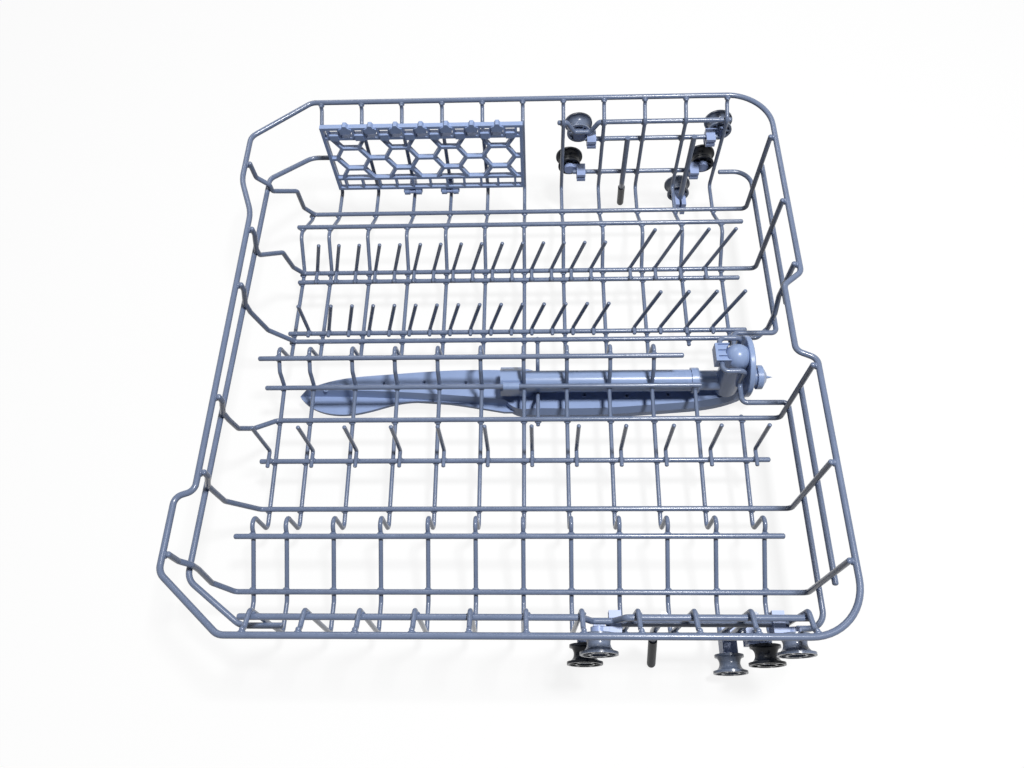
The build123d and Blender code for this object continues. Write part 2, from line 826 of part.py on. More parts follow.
# Feed tube with the spigot that the arm turns on
tube_start = hub_x - tube_front
spigot_foot = arm_bottom_z - play - nut_t
with BuildPart() as feed_tube:
    for start, end, radius in (
        (tube_start, tube_collar_x, tube_r),
        (tube_collar_x, tube_collar_x + collar_w, collar_r),
        (tube_collar_x + collar_w, elbow_x - elbow_r + socket_depth, neck_r),
    ):
        with BuildSketch(Plane(origin=(start, 0, feed_z), z_dir=(1, 0, 0))):
            Circle(radius)
        extrude(amount=end - start)
    with BuildSketch(hub_plane(feed_z)):
        Circle(hub_neck_r)
    extrude(amount=arm_top_z + play - feed_z)
    with BuildSketch(hub_plane(feed_z)):
        Circle(spigot_r)
    extrude(amount=spigot_foot - feed_z)
save(feed_tube, "feed_tube")

# Wire that dips under the tube and holds its front end
hold_z = feed_z - tube_r - wire_r - play
hold_y = tube_r + tube_hold_out
tube_hold = [
    (middle_row_pair_y + 4, floor_z, bend),
    (hold_y, floor_z, bend),
    (tube_r - 1.5, hold_z, bend),
    (1.5 - tube_r, hold_z, bend),
    (-hold_y - 2, floor_at(-hold_y - 2)[0], bend),
    (near_slope_y - 4, floor_at(near_slope_y - 4)[0], bend),
]
save(cross_wire(tube_hold, hub_x + tube_hold_back), "tube_support_wire")

with BuildPart() as spray_arm_nut:
    with BuildSketch(hub_plane(spigot_foot)):
        RegularPolygon(nut_r, 12)
        Circle(spigot_r + grip_clear, mode=Mode.SUBTRACT)
    extrude(amount=nut_t)
save(spray_arm_nut, "spray_arm_nut")

# End cap of the tube, snapped round the floor wire above it
cap_r = tube_r + cap_wall
cap_start = tube_start - cap_len + cap_grip
wire_z = seat(tube_wire_y)
with BuildPart() as tube_end_cap:
    with BuildSketch(Plane(origin=(cap_start, 0, feed_z), z_dir=(1, 0, 0))):
        RegularPolygon(cap_r, 8, major_radius=False, rotation=22.5)
    extrude(amount=cap_len)
    ear_low = wire_z - long_r - 2 * cap_wall
    ear_r = long_r + cap_ear_wall
    ear_start = cap_start + 3
    with Locations((ear_start + cap_ear_w / 2, tube_wire_y, (ear_low + wire_z) / 2)):
        Box(cap_ear_w, 2 * ear_r, wire_z - ear_low)
    with BuildSketch(Plane(origin=(ear_start, tube_wire_y, wire_z), z_dir=(1, 0, 0))):
        Circle(ear_r)
    extrude(amount=cap_ear_w)
    with BuildSketch(Plane(origin=(cap_start, tube_wire_y, wire_z), z_dir=(1, 0, 0))):
        Circle(long_r + grip_clear)
    extrude(amount=cap_len, mode=Mode.SUBTRACT)
    with BuildSketch(Plane(origin=(tube_start, 0, feed_z), z_dir=(1, 0, 0))):
        Circle(tube_r + grip_clear)
    extrude(amount=cap_len, mode=Mode.SUBTRACT)
    with BuildSketch(hub_plane(feed_z + grip_clear)):
        Circle(hub_neck_r + grip_clear)
    extrude(amount=-2 * cap_r, mode=Mode.SUBTRACT)
save(tube_end_cap, "tube_end_cap")

# Dock: flange, and an elbow with a domed top and a socket for the tube
flange_z = rim_z - flange_drop
dome_z = rim_z - dome_drop
elbow_foot_z = feed_z - elbow_foot
with BuildPart() as dock_flange:
    with BuildSketch(Plane(origin=(flange_x, 0, flange_z), z_dir=(1, 0, 0))):
        Circle(flange_r)
    extrude(amount=flange_t)
    fillet(dock_flange.edges().filter_by(GeomType.CIRCLE), 1.2)
    with BuildSketch(Plane.XY.offset(elbow_foot_z)):
        with Locations((elbow_x, 0)):
            Circle(elbow_r)
    extrude(amount=dome_z - elbow_foot_z)
    with Locations((elbow_x, 0, dome_z)):
        Sphere(elbow_r)
    with BuildSketch(Plane(origin=(elbow_x - elbow_r - 1, 0, feed_z), z_dir=(1, 0, 0))):
        Circle(neck_r + grip_clear)
    extrude(amount=socket_depth + 1, mode=Mode.SUBTRACT)
save(dock_flange, "dock_flange")

# Latch: snapped round the back wire's loop, against the elbow
latch_top_z = loop_z + latch_above
latch_foot_z = loop_z - latch_below
with BuildPart() as dock_latch:
    with Locations(((latch_front + elbow_x) / 2, 0, (latch_top_z + latch_foot_z) / 2)):
        Box(elbow_x - latch_front, 2 * latch_half, latch_top_z - latch_foot_z)
    with BuildSketch(Plane.XY.offset(latch_foot_z)):
        with Locations((elbow_x, 0)):
            Circle(elbow_r + grip_clear)
    extrude(amount=latch_top_z - latch_foot_z, mode=Mode.SUBTRACT)
    with BuildSketch(Plane(origin=(loop_front_x, -latch_half, loop_z), z_dir=(0, 1, 0))):
        Circle(carrier_r + grip_clear)
    extrude(amount=2 * latch_half, mode=Mode.SUBTRACT)
    with BuildSketch(Plane.XY.offset(latch_top_z)):
        with Locations(((latch_front + elbow_x) / 2 + rib_t, 0)):
            with GridLocations(0, 2 * latch_half / 3, 1, 3):
                Rectangle(elbow_x - latch_front - rib_t, 2 * latch_half / 3 - rib_t)
    extrude(amount=-rib_depth, mode=Mode.SUBTRACT)
save(dock_latch, "dock_latch")

# Nozzle behind the flange: neck, ring, blunt end and centring pin
nozzle_z = rim_z - nozzle_drop
nozzle_x = flange_x + flange_t
ring_x = nozzle_x + nozzle_neck
end_x = ring_x + nozzle_ring_t
pin_x = end_x + nozzle_end
with BuildPart() as dock_nozzle:
    with BuildSketch(Plane.XZ):
        with BuildLine():
            Polyline(
                (nozzle_x, nozzle_z),
                (nozzle_x, nozzle_z + nozzle_r),
                (ring_x, nozzle_z + nozzle_r),
                (ring_x, nozzle_z + nozzle_ring_r),
                (end_x, nozzle_z + nozzle_ring_r),
                (pin_x, nozzle_z + nozzle_end_r),
                (pin_x, nozzle_z + nozzle_pin_r),
                (pin_x + nozzle_pin_len, nozzle_z),
                close=True,
            )
        make_face()
    revolve(axis=Axis((nozzle_x, 0, nozzle_z), (1, 0, 0)))
save(dock_nozzle, "dock_nozzle")

# Cup shelf: a ladder of pads, two rows of cells and a foot ladder, folded up against the far wall
shelf_x = (cross_x(shelf_steps[0]) + 1, cross_x(shelf_steps[1]))
shelf_len = shelf_x[1] - shelf_x[0]
shelf_mid_x = (shelf_x[0] + shelf_x[1]) / 2
shelf_back_y = wall_y - wire_r - shelf_back_gap
shelf_top_z = rim_z - shelf_top_drop
shelf_foot = shelf_top_z - shelf_h
hinge_y = shelf_back_y - shelf_t / 2
hinge_z = shelf_foot - hinge_below
cells_h = shelf_h - rail_w - top_ladder - foot_ladder
cell_h = cells_h / 2
column_pitch = shelf_len / 2 / cell_columns
hole_w = column_pitch / 1.5 - cell_bar / math.sqrt(3)
hole_h = (cell_h - cell_bar) / 2
cell_corners = [(hole_w, 0), (hole_w / 2, hole_h), (-hole_w / 2, hole_h)]
cell_corners += [(-x, -z) for x, z in cell_corners]
hinge_places = [cross_x(step) for step in hinge_steps]


def shelf_plane(z):
    """The shelf's back face, with its origin above the middle at a height."""
    return Plane(origin=(shelf_mid_x, shelf_back_y, z), x_dir=(1, 0, 0), z_dir=(0, -1, 0))


top_rail_z = shelf_top_z - rail_w / 2
second_rail_z = top_rail_z - top_ladder
foot_rail_z = shelf_foot + rail_w / 2
cells_mid_z = second_rail_z - cell_h
wide_slot = column_pitch - 2 * post_half - post_w
foot_slots = int((shelf_len - 2 * rail_w) / foot_post_pitch)
with BuildPart() as cup_shelf:
    with BuildSketch(shelf_plane((shelf_top_z + shelf_foot) / 2)):
        Rectangle(shelf_len, shelf_h)
    extrude(amount=shelf_t)
    with BuildSketch(shelf_plane(cells_mid_z)):
        with GridLocations(2 * column_pitch, cell_h, cell_columns + 1, 2):
            Polygon(*cell_corners, align=None)
        with GridLocations(2 * column_pitch, cell_h, cell_columns, 3):
            Polygon(*cell_corners, align=None)
        Rectangle(shelf_len - 2 * rail_w, cells_h - rail_w, mode=Mode.INTERSECT)
    extrude(amount=shelf_t, mode=Mode.SUBTRACT)
    with BuildSketch(shelf_plane((top_rail_z + second_rail_z) / 2)):
        with GridLocations(column_pitch, 0, 2 * cell_columns + 1, 1):
            Rectangle(wide_slot, top_ladder - rail_w)
        with GridLocations(column_pitch, 0, 2 * cell_columns, 1):
            Rectangle(2 * post_half - post_w, top_ladder - rail_w)
        Rectangle(shelf_len - 2 * rail_w, top_ladder, mode=Mode.INTERSECT)
    extrude(amount=shelf_t, mode=Mode.SUBTRACT)
    with BuildSketch(shelf_plane(foot_rail_z + foot_ladder / 2)):
        with GridLocations(foot_post_pitch, 0, foot_slots + 2, 1):
            Rectangle(foot_post_pitch - post_w, foot_ladder - rail_w)
        Rectangle(shelf_len - 2 * rail_w, foot_ladder, mode=Mode.INTERSECT)
    extrude(amount=shelf_t, mode=Mode.SUBTRACT)
    with BuildSketch(shelf_plane(top_rail_z)):
        with GridLocations(column_pitch, 0, 2 * cell_columns - 1, 1):
            Polygon(
                (-pad_foot_w / 2, -pad_drop),
                (pad_foot_w / 2, -pad_drop),
                (pad_w / 2, 0),
                (pad_w / 4, rail_w / 2),
                (pad_tip_w / 2, pad_rise),
                (-pad_tip_w / 2, pad_rise),
                (-pad_w / 4, rail_w / 2),
                (-pad_w / 2, 0),
                align=None,
            )
    extrude(amount=shelf_t + pad_t)
    with BuildSketch(shelf_plane(second_rail_z + small_pad_rise / 2)):
        with GridLocations(column_pitch, 0, 2 * cell_columns, 1):
            Rectangle(small_pad_w, small_pad_rise + rail_w)
    extrude(amount=shelf_t + pad_t)
    for x in hinge_places:
        for sign in (-1, 1):
            middle = x + sign * (hinge_block_w / 2 + play + knuckle_w / 2)
            with Locations((middle, hinge_y, (shelf_foot + hinge_z) / 2)):
                Box(knuckle_w, shelf_t, shelf_foot - hinge_z + 1)
            with BuildSketch(Plane(origin=(middle - knuckle_w / 2, hinge_y, hinge_z), z_dir=(1, 0, 0))):
                Circle(knuckle_r)
            extrude(amount=knuckle_w)
            with BuildSketch(Plane(origin=(middle - knuckle_w, hinge_y, hinge_z), z_dir=(1, 0, 0))):
                Circle(hinge_pin_r + hinge_clear)
            extrude(amount=2 * knuckle_w, mode=Mode.SUBTRACT)
save(cup_shelf, "cup_shelf")

# Hinge clips: a block on a side-wall wire, with a pin to each side
with BuildPart() as hinge_clip:
    block_back = wall_y + wire_r + 1.2
    block_front = hinge_y + knuckle_r + 1.0
    with Locations((0, (block_back + block_front) / 2, hinge_z)):
        Box(hinge_block_w, block_back - block_front, hinge_block_h)
    with Locations((0, (hinge_y + block_front + 1) / 2, hinge_z)):
        Box(hinge_block_w, block_front + 1 - hinge_y, 2 * hinge_pin_r + 2)
    with BuildSketch(Plane(origin=(-hinge_block_w / 2, hinge_y, hinge_z), z_dir=(1, 0, 0))):
        Circle(hinge_pin_r + 1)
    extrude(amount=hinge_block_w)
    pin_half = hinge_block_w / 2 + play + knuckle_w + 1
    with BuildSketch(Plane(origin=(-pin_half, hinge_y, hinge_z), z_dir=(1, 0, 0))):
        Circle(hinge_pin_r)
    extrude(amount=2 * pin_half)
    with BuildSketch(Plane(origin=(0, wall_y, hinge_z - hinge_block_h), z_dir=(0, 0, 1))):
        Circle(wire_r + grip_clear)
    extrude(amount=2 * hinge_block_h, mode=Mode.SUBTRACT)
save(copies(hinge_clip, [(x, 0, 0) for x in hinge_places]), "shelf_clips")
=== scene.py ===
# %% [markdown]
# # An upper dishwasher basket
#
# The basket is a cage of coated steel wire with moulded plastic fittings. Its solids come from
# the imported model, which is the fixed frame of this scene: nothing in it is moved. This lesson
# sets the view, gives every surface its finish and adds what a drawing of bare solids lacks:
# the coating that gathers at each weld, the rounded ends of the dipped wires, and the raised lips
# of the spray jets.

# %% Load the frame
import json
import math

import bmesh
import bpy
from mathutils import Matrix, Vector
from mathutils.bvhtree import BVHTree


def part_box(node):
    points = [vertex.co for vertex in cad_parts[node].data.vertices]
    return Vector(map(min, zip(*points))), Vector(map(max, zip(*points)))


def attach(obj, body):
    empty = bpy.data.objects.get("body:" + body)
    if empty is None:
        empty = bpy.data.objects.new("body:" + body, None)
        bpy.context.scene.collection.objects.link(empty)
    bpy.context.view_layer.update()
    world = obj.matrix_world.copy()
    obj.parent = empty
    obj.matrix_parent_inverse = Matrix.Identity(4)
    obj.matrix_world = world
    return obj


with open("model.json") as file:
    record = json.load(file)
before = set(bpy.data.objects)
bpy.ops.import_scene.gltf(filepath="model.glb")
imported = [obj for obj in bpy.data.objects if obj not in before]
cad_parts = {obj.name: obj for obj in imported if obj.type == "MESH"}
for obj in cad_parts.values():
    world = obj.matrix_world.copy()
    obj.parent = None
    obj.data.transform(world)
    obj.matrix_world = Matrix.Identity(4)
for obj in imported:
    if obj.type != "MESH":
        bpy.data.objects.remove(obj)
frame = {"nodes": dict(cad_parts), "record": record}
scene = bpy.context.scene
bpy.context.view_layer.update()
nodes = frame["nodes"]

# %% [markdown]
# ## The camera
#
# The picture looks steeply down on one side wall, with the camera turned a little and held a
# little askew. Three turns describe that: how far it looks down, how far it is turned, and its
# roll. Building the camera's axes from them is plainer than chasing Euler angles. The width of
# view comes from a focal length counted in pixels of a 1024 pixel wide picture.

# %% Camera
look_down = math.radians(62.64)
turned = math.radians(-4.157)
rolled = math.radians(4.094)
focal_pixels = 800.0
picture_width = 1024.0
camera_place = (0.02630, -0.35471, 0.72640)

level_reach = math.cos(look_down)
ahead = Vector((
    math.sin(turned) * level_reach,
    math.cos(turned) * level_reach,
    -math.sin(look_down),
))
level_right = Vector((math.cos(turned), -math.sin(turned), 0.0))
level_down = ahead.cross(level_right)
right = level_right * math.cos(rolled) + level_down * math.sin(rolled)
down = level_down * math.cos(rolled) - level_right * math.sin(rolled)

camera_data = bpy.data.cameras.new("camera")
camera_data.sensor_width = 36.0
camera_data.lens = focal_pixels / picture_width * camera_data.sensor_width
camera_data.clip_start = 0.01
camera = bpy.data.objects.new("camera", camera_data)
scene.collection.objects.link(camera)
axes = Matrix((right, -down, -ahead)).transposed().to_4x4()
camera.matrix_world = Matrix.Translation(camera_place) @ axes
scene.camera = camera
print("lens", round(camera_data.lens, 2), "mm")

# %% [markdown]
# ## Floor and light
#
# The basket stands on a wide pale floor. To the camera, and in reflections, the floor is nearly
# white: a chalk white that shows the shadow, with a large share of its own light mixed in. The
# light that falls on the basket meets a darker floor, so little of it is thrown back on the
# undersides. The main lamp is a small window overhead, a little towards the back. It lights the
# tops of the wires and of the spray arm, leaves their sides and the standing tines dark, which is
# what makes a round wire look round, and lays the shadow of each wire beside it on the tube. A
# weak lamp behind the far side wall and a faint even sky fill in the rest.

# %% Floor
scene.view_settings.view_transform = "Standard"


def principled(material):
    """The Principled BSDF of a new material."""
    return next(n for n in material.node_tree.nodes if n.type == "BSDF_PRINCIPLED")


def seen_rays(tree):
    """One where a camera ray or a reflection looks, zero for the light that falls on things."""
    rays = tree.nodes.new("ShaderNodeLightPath")
    seen = rays.outputs["Is Camera Ray"]
    for kind in ("Is Glossy Ray", "Is Transmission Ray"):
        either = tree.nodes.new("ShaderNodeMath")
        either.operation = "MAXIMUM"
        tree.links.new(seen, either.inputs[0])
        tree.links.new(rays.outputs[kind], either.inputs[1])
        seen = either.outputs[0]
    return seen


floor_reach = 6.0
floor_drop = 0.0005
chalk_white = (0.9, 0.9, 0.9, 1)
unseen_grey = (0.14, 0.14, 0.14, 1)
glow_share = 0.88

corner_signs = ((-1, -1), (1, -1), (1, 1), (-1, 1))
floor_corners = [(x * floor_reach, y * floor_reach, 0) for x, y in corner_signs]
floor_mesh = bpy.data.meshes.new("floor")
floor_mesh.from_pydata(floor_corners, [], [(0, 1, 2, 3)])
floor = bpy.data.objects.new("floor", floor_mesh)
floor.location.z = -floor_drop
scene.collection.objects.link(floor)
floor_paint = bpy.data.materials.new("pale_floor")
floor_paint.use_nodes = True
floor_tree = floor_paint.node_tree
floor_shader = principled(floor_paint)
floor_shader.inputs["Base Color"].default_value = unseen_grey
floor_shader.inputs["Roughness"].default_value = 0.9
floor_shader.inputs["Specular IOR Level"].default_value = 0.1
floor_chalk = floor_tree.nodes.new("ShaderNodeBsdfDiffuse")
floor_chalk.inputs["Color"].default_value = chalk_white
floor_glow = floor_tree.nodes.new("ShaderNodeEmission")
floor_seen = floor_tree.nodes.new("ShaderNodeMixShader")
floor_seen.inputs[0].default_value = glow_share
floor_mix = floor_tree.nodes.new("ShaderNodeMixShader")
floor_out = next(n for n in floor_tree.nodes if n.type == "OUTPUT_MATERIAL")
floor_tree.links.new(floor_chalk.outputs[0], floor_seen.inputs[1])
floor_tree.links.new(floor_glow.outputs[0], floor_seen.inputs[2])
floor_tree.links.new(seen_rays(floor_tree), floor_mix.inputs[0])
floor_tree.links.new(floor_shader.outputs[0], floor_mix.inputs[1])
floor_tree.links.new(floor_seen.outputs[0], floor_mix.inputs[2])
floor_tree.links.new(floor_mix.outputs[0], floor_out.inputs["Surface"])
floor_mesh.materials.append(floor_paint)
print("floor:", floor.name)

# %% Sky and lamps
sky_fill = 0.06
lamp_target = (0, 0, 0.08)

world = bpy.data.worlds.new("even_sky")
world.use_nodes = True
sky = next(n for n in world.node_tree.nodes if n.type == "BACKGROUND")
sky.inputs["Color"].default_value = (1, 1, 1, 1)
sky_strength = world.node_tree.nodes.new("ShaderNodeMapRange")
sky_strength.inputs["To Min"].default_value = sky_fill
sky_strength.inputs["To Max"].default_value = 1.0
world.node_tree.links.new(seen_rays(world.node_tree), sky_strength.inputs["Value"])
world.node_tree.links.new(sky_strength.outputs[0], sky.inputs["Strength"])
scene.world = world


def soft_lamp(name, place, size, power):
    """A square area lamp that looks at the basket."""
    data = bpy.data.lights.new(name, "AREA")
    data.size = size
    data.energy = power
    lamp = bpy.data.objects.new(name, data)
    scene.collection.objects.link(lamp)
    lamp.location = place
    lamp.rotation_euler = (Vector(lamp_target) - Vector(place)).to_track_quat("-Z", "Y").to_euler()


soft_lamp("overhead_window", (0.40, -0.08, 1.70), size=0.20, power=33.0)
soft_lamp("far_lamp", (-0.35, 1.3, 1.2), size=0.6, power=5.0)

# %% [markdown]
# ## Shared surface effects
#
# Dipped wire and moulded plastic both have a skin that is not quite even. Two effects serve
# every finish, so each is a node group that is built once: a fine orange-peel skin, which puts
# out a height for a bump and a mask of slow tone changes, and handling dust, which gathers on
# surfaces that face up. Object coordinates keep both fixed to the pieces.

# %% Dipped skin


def shader_group(name, inputs, outputs):
    """An empty shader node group with named sockets."""
    group = bpy.data.node_groups.new(name, "ShaderNodeTree")
    for label, default in inputs:
        socket = group.interface.new_socket(label, in_out="INPUT", socket_type="NodeSocketFloat")
        socket.default_value = default
    for label, kind in outputs:
        group.interface.new_socket(label, in_out="OUTPUT", socket_type=kind)
    return group, group.nodes.new("NodeGroupInput"), group.nodes.new("NodeGroupOutput")


skin, skin_in, skin_out = shader_group(
    "dipped_skin",
    [("Peel scale", 900.0), ("Tone scale", 40.0)],
    [("Height", "NodeSocketFloat"), ("Tone", "NodeSocketFloat")],
)
skin_place = skin.nodes.new("ShaderNodeTexCoord")
peel = skin.nodes.new("ShaderNodeTexNoise")
peel.inputs["Detail"].default_value = 3.0
tone = skin.nodes.new("ShaderNodeTexNoise")
tone.inputs["Detail"].default_value = 4.0
tone.inputs["Roughness"].default_value = 0.6
for noise, scale in ((peel, "Peel scale"), (tone, "Tone scale")):
    skin.links.new(skin_place.outputs["Object"], noise.inputs["Vector"])
    skin.links.new(skin_in.outputs[scale], noise.inputs["Scale"])
skin.links.new(peel.outputs["Fac"], skin_out.inputs["Height"])
skin.links.new(tone.outputs["Fac"], skin_out.inputs["Tone"])
print("group:", skin.name)

# %% Settled dust
dust, dust_in, dust_out = shader_group(
    "settled_dust",
    [("Amount", 0.3)],
    [("Dust", "NodeSocketFloat")],
)
dust_normal = dust.nodes.new("ShaderNodeNewGeometry")
dust_up = dust.nodes.new("ShaderNodeSeparateXYZ")
dust_place = dust.nodes.new("ShaderNodeTexCoord")
dust_noise = dust.nodes.new("ShaderNodeTexNoise")
dust_noise.inputs["Scale"].default_value = 260.0
dust_noise.inputs["Detail"].default_value = 5.0
dust_range = dust.nodes.new("ShaderNodeMapRange")
dust_range.inputs["From Min"].default_value = 0.2
dust_range.inputs["From Max"].default_value = 1.0
dust_times = dust.nodes.new("ShaderNodeMath")
dust_times.operation = "MULTIPLY"
dust_share = dust.nodes.new("ShaderNodeMath")
dust_share.operation = "MULTIPLY"
dust.links.new(dust_normal.outputs["Normal"], dust_up.inputs[0])
dust.links.new(dust_up.outputs["Z"], dust_range.inputs["Value"])
dust.links.new(dust_place.outputs["Object"], dust_noise.inputs["Vector"])
dust.links.new(dust_range.outputs[0], dust_times.inputs[0])
dust.links.new(dust_noise.outputs["Fac"], dust_times.inputs[1])
dust.links.new(dust_times.outputs[0], dust_share.inputs[0])
dust.links.new(dust_in.outputs["Amount"], dust_share.inputs[1])
dust.links.new(dust_share.outputs[0], dust_out.inputs["Dust"])
print("group:", dust.name)

# %% [markdown]
# ## The finishes
#
# All pieces are the same blue-grey family. The wires have a satin nylon coat. The spray arm, the
# shelf and the latch are a paler moulded plastic, the clips paler still, the feed tube and the dock
# a little deeper. The upper and bottom rollers come close to the wires. The lower rollers get a
# near-black copy of the roller finish, which is painted shade, and the two sleeves are almost
# black. One function lays down the colour, its slow variation, the dust and the bump, and each
# finish only states its own values.

# %% A finish
dust_colour = (0.42, 0.47, 0.56, 1)
bump_strength = 0.35
gloss_below, gloss_above = 0.05, 0.06


def colour_output(mix):
    """The colour output of a Mix node, which also has outputs of other kinds."""
    return next(socket for socket in mix.outputs if socket.type == "RGBA")


def finish(name, colour, dark, roughness, gloss_level, peel_scale, peel_depth, dust_amount):
    """A coated or moulded surface: two tones, settled dust, uneven gloss and a fine bump."""
    material = bpy.data.materials.new(name)
    material.use_nodes = True
    tree = material.node_tree
    shader = principled(material)
    shader.inputs["Specular IOR Level"].default_value = gloss_level
    surface = tree.nodes.new("ShaderNodeGroup")
    surface.node_tree = skin
    surface.inputs["Peel scale"].default_value = peel_scale
    settled = tree.nodes.new("ShaderNodeGroup")
    settled.node_tree = dust
    settled.inputs["Amount"].default_value = dust_amount
    tones = tree.nodes.new("ShaderNodeMix")
    tones.data_type = "RGBA"
    tones.inputs["A"].default_value = (*dark, 1)
    tones.inputs["B"].default_value = (*colour, 1)
    dusty = tree.nodes.new("ShaderNodeMix")
    dusty.data_type = "RGBA"
    dusty.inputs["B"].default_value = dust_colour
    gloss = tree.nodes.new("ShaderNodeMapRange")
    gloss.inputs["To Min"].default_value = roughness - gloss_below
    gloss.inputs["To Max"].default_value = roughness + gloss_above
    bump = tree.nodes.new("ShaderNodeBump")
    bump.inputs["Strength"].default_value = bump_strength
    bump.inputs["Distance"].default_value = peel_depth
    clean = next(s for s in dusty.inputs if s.name == "A" and s.type == "RGBA")
    tree.links.new(surface.outputs["Tone"], tones.inputs["Factor"])
    tree.links.new(colour_output(tones), clean)
    tree.links.new(settled.outputs["Dust"], dusty.inputs["Factor"])
    tree.links.new(colour_output(dusty), shader.inputs["Base Color"])
    tree.links.new(surface.outputs["Tone"], gloss.inputs["Value"])
    tree.links.new(gloss.outputs[0], shader.inputs["Roughness"])
    tree.links.new(surface.outputs["Height"], bump.inputs["Height"])
    tree.links.new(bump.outputs[0], shader.inputs["Normal"])
    return material


print("shared by every finish: dust", dust_colour[:3], "bump", bump_strength)

# %% The finishes of this basket
wire_coat = finish(
    "wire_coat", (0.150, 0.197, 0.315), (0.096, 0.127, 0.208),
    roughness=0.22, gloss_level=0.45, peel_scale=500.0, peel_depth=0.00008, dust_amount=0.06,
)
pale_plastic = finish(
    "pale_plastic", (0.28, 0.37, 0.60), (0.22, 0.30, 0.50),
    roughness=0.40, gloss_level=0.3, peel_scale=1500.0, peel_depth=0.00005, dust_amount=0.06,
)
clip_plastic = finish(
    "clip_plastic", (0.32, 0.405, 0.65), (0.27, 0.34, 0.56),
    roughness=0.34, gloss_level=0.3, peel_scale=1500.0, peel_depth=0.00005, dust_amount=0.05,
)
tube_plastic = finish(
    "tube_plastic", (0.265, 0.355, 0.575), (0.205, 0.28, 0.46),
    roughness=0.28, gloss_level=0.4, peel_scale=1500.0, peel_depth=0.00005, dust_amount=0.06,
)
roller_plastic = finish(
    "roller_plastic", (0.155, 0.195, 0.285), (0.105, 0.13, 0.195),
    roughness=0.24, gloss_level=0.4, peel_scale=1200.0, peel_depth=0.00006, dust_amount=0.06,
)
# Painted shade: a near-black copy of the roller finish for the lower rollers, the same part as the
# others
painted_shade_roller = finish(
    "painted_shade_roller", (0.020, 0.025, 0.038), (0.011, 0.014, 0.022),
    roughness=0.24, gloss_level=0.2, peel_scale=1200.0, peel_depth=0.00006, dust_amount=0.04,
)
sleeve_rubber = finish(
    "sleeve_rubber", (0.013, 0.016, 0.023), (0.007, 0.009, 0.013),
    roughness=0.40, gloss_level=0.2, peel_scale=1800.0, peel_depth=0.00005, dust_amount=0.05,
)
print("finishes:", [material.name for material in bpy.data.materials])

# %% Coat every node
coats = {
    "spray_arm_upper": pale_plastic,
    "spray_arm_lower": pale_plastic,
    "cup_shelf": pale_plastic,
    "dock_latch": pale_plastic,
    "roller_clips_far": clip_plastic,
    "roller_clips_near": clip_plastic,
    "shelf_clips": clip_plastic,
    "feed_tube": tube_plastic,
    "tube_end_cap": tube_plastic,
    "spray_arm_nut": tube_plastic,
    "dock_flange": tube_plastic,
    "dock_nozzle": tube_plastic,
    "stop_sleeves": sleeve_rubber,
}
# The lower rollers take the near-black copy of the roller finish, which is painted shade
coats |= {name: painted_shade_roller for name in nodes if name.startswith("roller_lower")}
slot_of = {part["node"]: part["material_slot"] for part in frame["record"]["subparts"]}
for name, node in nodes.items():
    coat = coats.get(name, roller_plastic if slot_of[name] == "roller_plastic" else wire_coat)
    for slot in node.material_slots:
        slot.material = coat
print("coated nodes:", len(nodes))

# %% [markdown]
# ## Where the wires end and where they cross
#
# A welded basket is dipped after welding, so the coating runs together wherever two wires touch
# and hangs as a rounded drop on every cut end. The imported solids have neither: their ends are
# flat discs and their wires simply touch. Those discs can be found in the meshes. Once the flat
# triangles of a copy are merged, a cut end is one face whose corners all lie on a circle.

# %% Cut ends
wire_names = [name for name in nodes if slot_of[name] == "wire_coating"]
merge_distance = 1e-6
flat_angle = math.radians(0.5)
thinnest_end, thickest_end = 0.0014, 0.0027
round_enough = 0.95
fewest_corners = 8


def cut_ends(name):
    """Centre, outward direction and radius of each flat cut end of a wire node."""
    work = bmesh.new()
    work.from_mesh(nodes[name].data)
    bmesh.ops.remove_doubles(work, verts=work.verts, dist=merge_distance)
    bmesh.ops.dissolve_limit(work, angle_limit=flat_angle, verts=work.verts, edges=work.edges)
    found = []
    for face in work.faces:
        if len(face.verts) >= fewest_corners:
            centre = face.calc_center_median()
            reach = [(corner.co - centre).length for corner in face.verts]
            radius = max(reach)
            if thinnest_end < radius < thickest_end and min(reach) > round_enough * radius:
                found.append((centre.copy(), face.normal.copy(), radius))
    work.free()
    return found


ends = {name: cut_ends(name) for name in wire_names}
print("cut ends:", sum(len(found) for found in ends.values()))

# %% [markdown]
# A crossing is found the other way round. Most wires run straight along the basket, so a run is
# known by its height, its place across the basket and its two ends. At the place of each wire
# that crosses below, a search for the nearest point of that wire's surface gives the spot where
# the two touch, and the way from there to the run's centre line is the way the weld faces.

# %% Runs of wire
run_height_in_radii = 2.1


def surface_tree(names):
    """A search tree over the surfaces of several nodes."""
    corners, faces = [], []
    for name in names:
        mesh = nodes[name].data
        first = len(corners)
        corners += [corner.co.copy() for corner in mesh.vertices]
        faces += [tuple(first + i for i in face.vertices) for face in mesh.polygons]
    return BVHTree.FromPolygons(corners, faces)


def floor_run(name):
    """Start, end and radius of a wire's lowest straight run along the basket."""
    low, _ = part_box(name)
    radius = min(end[2] for end in ends[name])
    top = low[2] + run_height_in_radii * radius
    run = [corner.co for corner in nodes[name].data.vertices if corner.co.z < top]
    y = (min(p.y for p in run) + max(p.y for p in run)) / 2
    z = low[2] + radius
    return Vector((min(p.x for p in run), y, z)), Vector((max(p.x for p in run), y, z)), radius


def wall_run(name):
    """Start, end and radius of a wire along a side wall."""
    low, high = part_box(name)
    radius = min(end[2] for end in ends[name])
    y = (low[1] + high[1]) / 2
    z = high[2] - radius
    return Vector((low[0], y, z)), Vector((high[0], y, z)), radius


floor_names = [name for name in wire_names if name.startswith(("floor_wire", "long_wire"))]
wall_kinds = ("rail_wire", "upper_roller", "lower_roller")
wall_names = [name for name in wire_names if name.startswith(wall_kinds)]
floor_runs = [floor_run(name) for name in floor_names]
wall_runs = [wall_run(name) for name in wall_names]
print("floor runs:", len(floor_runs), "wall runs:", len(wall_runs))

